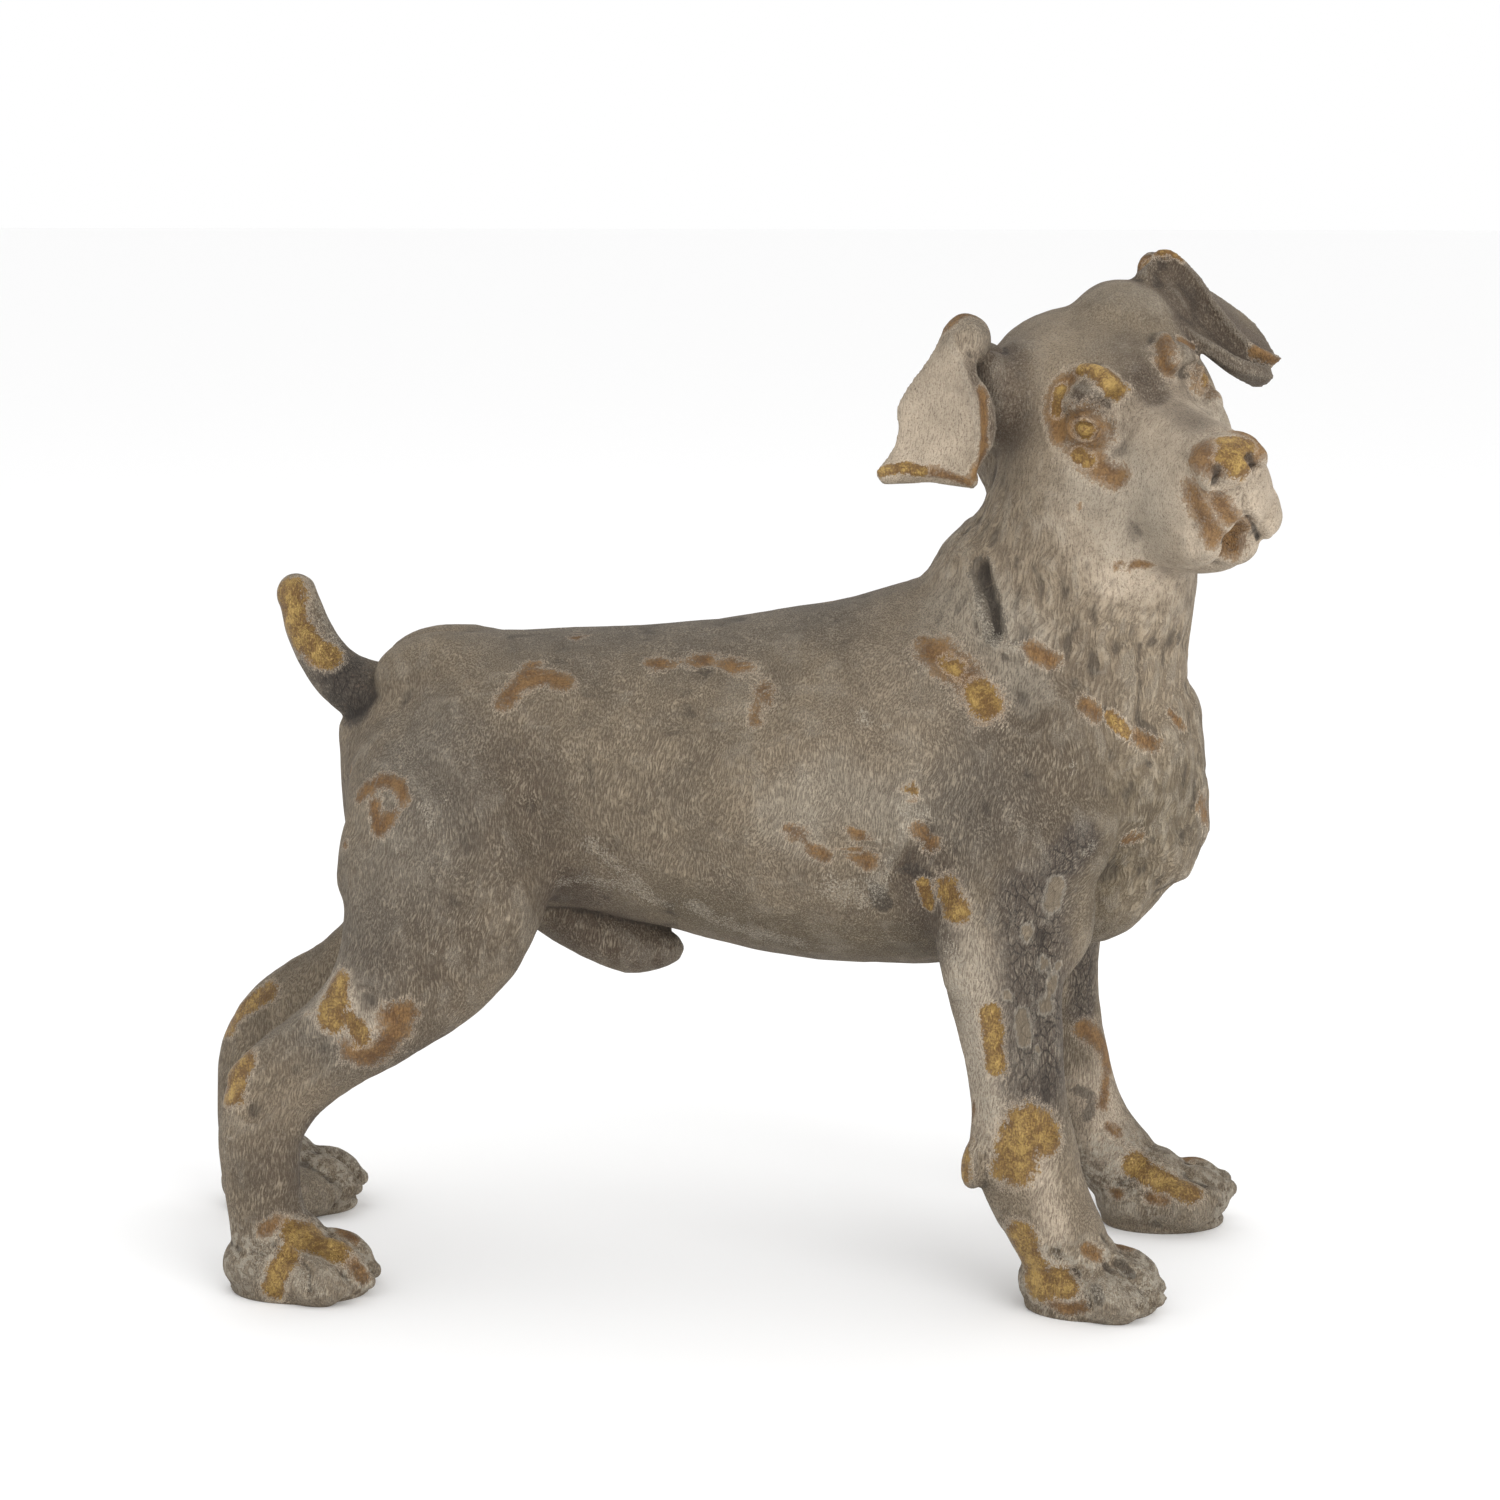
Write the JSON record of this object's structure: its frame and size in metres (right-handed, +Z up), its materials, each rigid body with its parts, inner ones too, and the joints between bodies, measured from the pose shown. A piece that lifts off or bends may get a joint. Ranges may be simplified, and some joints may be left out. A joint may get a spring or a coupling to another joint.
{
  "type": "animal_figure",
  "caption": "Standing terrier figure cast in resin, head turned and cocked, with weathered grey paint and worn gold",
  "frame": {"origin": "bottom centre of the bounding box, on the plane the paws stand on", "axes": "+X the way the dog's body faces, along its length; +Y to the dog's left; +Z up"},
  "size_m": [0.322, 0.119, 0.2997],
  "materials": {
    "weathered_resin": "matte"
  },
  "bodies": {
    "root": {"dog_figure": "weathered_resin"}
  },
  "joints": []
}
